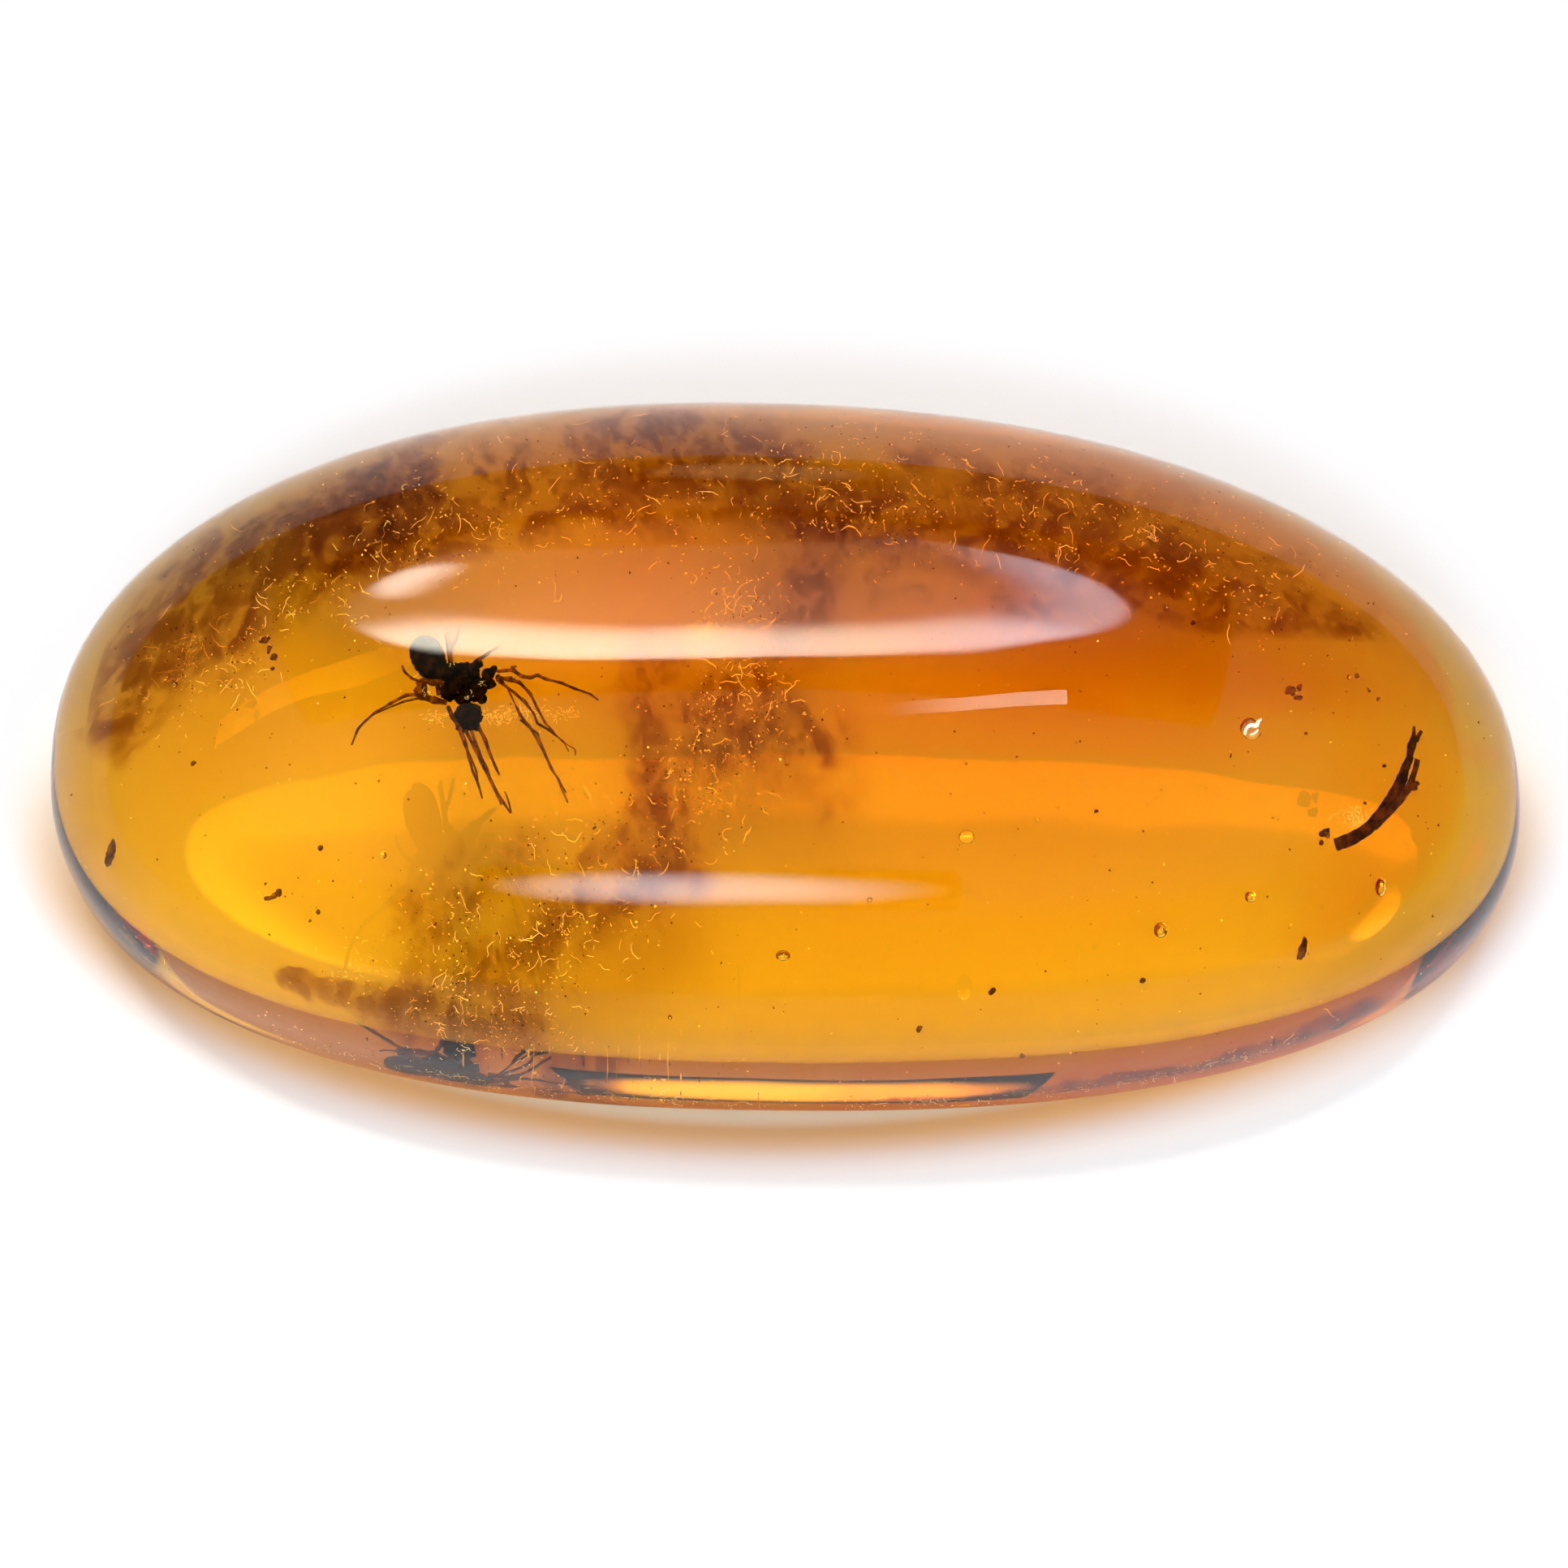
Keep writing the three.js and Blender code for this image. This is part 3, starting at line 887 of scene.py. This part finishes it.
def threads(rng, starts, length, thick):
    """Crinkled hairs: each a random walk of a few steps, whose heading sums up small random turns, skinned
    as a three-sided tube that narrows at both tips."""
    steps = 7
    count = len(starts)
    heading = rng.random(count) * 2 * np.pi
    turns = np.cumsum(rng.normal(size=(count, steps)) * 0.45, axis=1) + heading[:, None]
    stride = length[:, None] / steps
    climb = 0.3 * rng.normal(size=(count, steps)) * stride
    walk = np.stack([np.cos(turns) * stride, np.sin(turns) * stride, climb], -1)
    middle = starts[:, None] + np.cumsum(walk, axis=1)
    tips = np.array([0.2, 1, 1, 1, 1, 1, 0.2])[None, :, None, None]
    rings = round_section(middle, 3, (0.0, 0.0, 1.0), 0.3)
    rings = middle[:, :, None] + rings * thick[:, None, None, None] * tips
    grid = np.arange(steps * 3).reshape(steps, 3)
    here, there = grid[:-1].ravel(), grid[1:].ravel()
    here_next, there_next = np.roll(grid, -1, 1)[:-1].ravel(), np.roll(grid, -1, 1)[1:].ravel()
    faces = np.concatenate([
        np.stack([here, here_next, there_next], 1),
        np.stack([here, there_next, there], 1),
        [[0, 2, 1]],
        [[steps * 3 - 3, steps * 3 - 2, steps * 3 - 1]],
    ])
    every = faces[None] + steps * 3 * np.arange(count)[:, None, None]
    return rings.reshape(-1, 3), every.reshape(-1, 3)


rng = np.random.default_rng(41)
sparks = np.concatenate([
    along_route(rng, FAR_ROUTE, 3600, ROUTE_CLUMP),
    along_route(rng, MIDDLE_ROUTE, 2000, ROUTE_CLUMP),
    along_route(rng, FRONT_ROUTE, 1200, ROUTE_CLUMP),
    scattered(rng, 900),
])
spark_sizes = 0.01 + 0.022 * rng.random(len(sparks)) ** 3
golden_points = grains(rng, sparks, spark_sizes, stretch=1.5, level=0.5)
add_piece("golden_points", golden_points, GOLD, smooth=False)
hairs = np.concatenate([
    along_route(rng, FAR_ROUTE, 1300, ROUTE_CLUMP),
    along_route(rng, MIDDLE_ROUTE, 800, ROUTE_CLUMP),
    along_route(rng, FRONT_ROUTE, 600, ROUTE_CLUMP),
])
hairs = hairs[depth_share(hairs) < 0.9]
hair_lengths = 0.1 + 0.6 * rng.random(len(hairs)) ** 3
hair_widths = 0.004 + 0.006 * rng.random(len(hairs))
add_piece("golden_threads", threads(rng, hairs, hair_lengths, hair_widths), GOLD)

# Where the resin split finely enough to shine, their painted glow also standing in for golden patches of
# light round the insect: each is a middle, its spread along X, Y and Z, and how many.
SPLITS = [
    (-2.05, 1.75, 4.4, 0.3, 0.14, 0.1, 260), (-8.95, -0.08, 3.6, 0.16, 0.07, 0.05, 60),
    (-7.35, -0.1, 3.6, 0.3, 0.1, 0.05, 130), (-6.6, 0.05, 3.6, 0.32, 0.09, 0.05, 100),
    (-5.7, -0.05, 3.6, 0.25, 0.07, 0.05, 40), (-9.2, 0.0, 5.5, 0.07, 0.05, 0.03, 12),
    (-7.8, 0.12, 5.75, 0.05, 0.03, 0.03, 8), (-8.1, -0.22, 5.7, 0.06, 0.03, 0.03, 8),
    (-8.6, 0.75, 5.6, 0.06, 0.04, 0.03, 8), (14.6, -2.5, 3.0, 0.24, 0.14, 0.05, 150),
    (-7.3, -6.6, 1.6, 0.9, 0.35, 0.1, 90), (-10.9, -5.2, 2.0, 0.5, 0.25, 0.1, 60),
    (9.6, 4.6, 3.6, 0.9, 0.35, 0.2, 60), (5.0, 5.3, 3.6, 1.6, 0.3, 0.2, 60),
    (-1.6, -0.4, 3.2, 0.8, 0.7, 0.2, 60),
]
rng = np.random.default_rng(43)
split_hairs = np.concatenate([
    np.array((x, y, z)) + rng.normal(size=(count, 3)) * (a, b, c) for x, y, z, a, b, c, count in SPLITS
])
split_lengths = 0.04 + 0.16 * rng.random(len(split_hairs)) ** 2
split_widths = 0.002 + 0.005 * rng.random(len(split_hairs))
add_piece("golden_splits", threads(rng, split_hairs, split_lengths, split_widths), GOLD)


# Studio. A pale table, white walls that turn dimmer and warmer above it, a bright ceiling, and four shining
# cards, whose reflections lie on the dome.
TABLE_GAP = 0.06  # the air under the flat, so that resin and table are never one surface
TABLE_HALF = 0.5  # in metres
CARD_DISTANCE = 0.9  # in metres
FOOT_HALF_LENGTH = 20.2
FOOT_HALF_WIDTH = 10.1


def stage_sheet(name, outline, finish):
    """A flat piece of the studio. outline is its corners' X and Y, in metres, anticlockwise."""
    mesh = bpy.data.meshes.new(name)
    mesh.from_pydata([(x, y, 0) for x, y in outline], [], [range(len(outline))])
    mesh.materials.append(finish.material)
    sheet = bpy.data.objects.new(name, mesh)
    scene.collection.objects.link(sheet)
    return sheet


def rectangle(left, right, low, high):
    """Its corners, anticlockwise."""
    return [(left, low), (right, low), (right, high), (left, high)]


AMBER_GLOW = (1.0, 0.42, 0.12, 1)
WHITE = (1, 1, 1, 1)
BLACK = (0, 0, 0, 1)
# Each patch of painted light, glowing on the table under the pebble, is its middle's X and Y, its two half
# sizes, and its strength.
GLOW_PATCHES = [(-13.5, -1, 6, 6, 0.4), (5, -5.5, 15, 4, 0.3), (-7, 4.4, 7, 3.4, 0.3)]


def table_finish():
    """A pale table, painted lighter and warmer under and just round the pebble, with a painted amber-brown
    contact shadow along the front and sides of its outline, for the shade and the pebble's amber light there.
    Its painted glow, which is no lamp, shines a little in front of the pebble, to open its shadow, and in
    soft oval patches under it. rim is 1 along the pebble's outline: the sum of the squares of x and y over
    the outline's half sizes."""
    finish = Finish(bpy.data.materials.new("table"), "Principled BSDF")
    x = finish.node("SeparateXYZ", {}, {0: finish.place()}, out=0) / MM
    y = finish.node("SeparateXYZ", {}, {0: finish.place()}, out=1) / MM
    rim = x * x / FOOT_HALF_LENGTH ** 2 + y * y / FOOT_HALF_WIDTH ** 2
    # painted light: the table glows in front of the pebble, where its shadow falls, fading out further away
    glow = rim.step(0.9, 1.3) * (0.8 - 0.8 * rim.step(3.0, 9.0)) * (0 - y).step(0, 8)
    for patch_x, patch_y, half_x, half_y, strength in GLOW_PATCHES:
        out = (x - patch_x) * (x - patch_x) / half_x ** 2 + (y - patch_y) * (y - patch_y) / half_y ** 2
        glow = glow.maths("MAXIMUM", glow, strength - strength * out.step(0.1, 1))
    # painted contact shadow: a narrow amber-brown band on the table along the pebble's outline, at its front
    # and sides, for the shade and amber light there
    painted_amber_shadow = rim.step(0.92, 1.0) * (1 - rim.step(1.02, 1.2)) * (3 - y).step(0, 8)
    # painted light: lighter and warmer under and just round the pebble, greyer and bluer further out
    pale = finish.blend(rim.step(0.95, 1.2), (0.52, 0.51, 0.5, 1), (0.44, 0.45, 0.48, 1))
    # the painted glow is amber near the pebble, for its amber light, and white further out
    glow_colour = finish.blend(rim.step(0.95, 1.4), AMBER_GLOW, WHITE)
    finish.feed(finish.surface, {
        "Base Color": finish.blend(painted_amber_shadow, pale, (0.46, 0.32, 0.19, 1)),
        "Roughness": 1,
        "Specular IOR Level": 0,
        "Emission Color": finish.blend(glow, BLACK, glow_colour),
        "Emission Strength": 0.55,
    })
    finish.material.cycles.emission_sampling = "NONE"
    return finish


table = stage_sheet("table", rectangle(-TABLE_HALF, TABLE_HALF, -TABLE_HALF, TABLE_HALF), table_finish())
table.location.z = -TABLE_GAP * MM


def light_card(name, outline, rise, glow):
    """A shining card that hangs square on to the pebble, straight behind it and raised by rise degrees, or
    in front of it past 90. Its X and Y run right and over the pebble, in shares of the card's distance. glow
    is given both, and gives the card's colour and strength there."""
    finish = Finish(bpy.data.materials.new(name), "Principled BSDF")
    x = finish.node("SeparateXYZ", {}, {0: finish.place()}, out=0) / CARD_DISTANCE
    y = finish.node("SeparateXYZ", {}, {0: finish.place()}, out=1) / CARD_DISTANCE
    finish.feed(finish.surface, {
        "Base Color": BLACK,
        "Specular IOR Level": 0,
        "Roughness": 1,
        "Emission Color": finish.brighter(*glow(x, y)),
        "Emission Strength": 1,
    })
    card = stage_sheet(name, [(right * CARD_DISTANCE, up * CARD_DISTANCE) for right, up in outline], finish)
    angle = math.radians(rise)
    out = Vector((0, math.cos(angle), math.sin(angle)))
    over = Vector((0, -math.sin(angle), math.cos(angle)))
    card.rotation_euler = Matrix(((1, 0, 0), over, -out)).transposed().to_euler()
    card.location = out * CARD_DISTANCE


WARM_WHITE = (1, 0.92, 0.78, 1)
COOL_WHITE = (0.76, 0.85, 1, 1)
GOLDEN = (1, 0.85, 0.4, 1)


def softbox_glow(x, y):
    """An oval softbox, cut off along its lower side by a bent line. It has a dim middle, a bright rim over
    its top and at both ends, a bright patch low on its left, and a faint halo."""
    across = (x + 0.08) / 0.47
    over = y / 0.27
    out = across.maths("SQRT", across * across + over * over)
    cut = (y + 0.155 + 1.5 * (x + 0.12) * (x + 0.12)).step(-0.02, 0.02)
    body = (1 - out.step(0.97, 1.05)) * cut
    rim = out.step(0.6, 0.88) * body
    side = over.step(0.1, 0.6)
    side = side.maths("MAXIMUM", side, across.step(0.45, 0.8) * 0.5)
    patch = (x + 0.41) * (x + 0.41) + (y + 0.1) * (y + 0.1)
    side = side.maths("MAXIMUM", side, 0.8 - 0.8 * patch.step(0, 0.01))
    halo = (1 - out.step(0.95, 1.4)) * 0.8
    middle = body * (2.2 + 5 * over.step(-0.5, 0.9))
    edge = rim * side * (58 - 20 * across.step(-0.2, 0.7))
    return x.finish.blend(across.step(0.3, 0.75), WARM_WHITE, COOL_WHITE), halo + middle + edge


def streak_glow(x, y):
    """A long lens of light that fades towards its outline."""
    across = (x + 0.115) / 0.25
    over = y / 0.12
    return COOL_WHITE, 92 - 92 * (across * across + over * over).step(-1.0, 1.0)


def strip_glow(x, y):
    """A plain strip, brighter towards its right end."""
    return WARM_WHITE, 2 + 24 * x.step(0.08, 0.2)


def back_glow(x, y):
    """A soft golden oval low behind the pebble, which lights up its near edge from inside."""
    return GOLDEN, 1.9 - 1.9 * (x * x * 100 + y * y * 130).step(0.1, 1.0)


light_card("softbox", rectangle(-0.75, 0.6, -0.4, 0.4), 53, softbox_glow)
light_card("streak", rectangle(-0.37, 0.14, -0.12, 0.12), 128, streak_glow)
light_card("strip", [(0.06, 0.145), (0.305, 0.01), (0.305, 0.065), (0.06, 0.195)], 70, strip_glow)
light_card("back_glow", rectangle(-0.1, 0.1, -0.09, 0.09), 16, back_glow)

sweep = Finish(bpy.data.worlds.new("studio"), "Background")
scene.world = sweep.material
rise = sweep.node("SeparateXYZ", {}, {0: sweep.place()}, out=2)
low_wall = rise.step(0.125, 0.145)
high_wall = rise.step(0.4, 0.6)
wall_colour = sweep.blend(low_wall - high_wall, WHITE, (1, 0.64, 0.25, 1))
wall_strength = 1 - 0.5 * low_wall - 0.25 * high_wall + 0.9 * rise.step(0.6, 0.8)
sweep.feed(sweep.surface, {"Color": sweep.brighter(wall_colour, wall_strength)})

scene.view_settings.view_transform = "Standard"
scene.cycles.max_bounces = 16
scene.cycles.transmission_bounces = 16
scene.cycles.glossy_bounces = 6
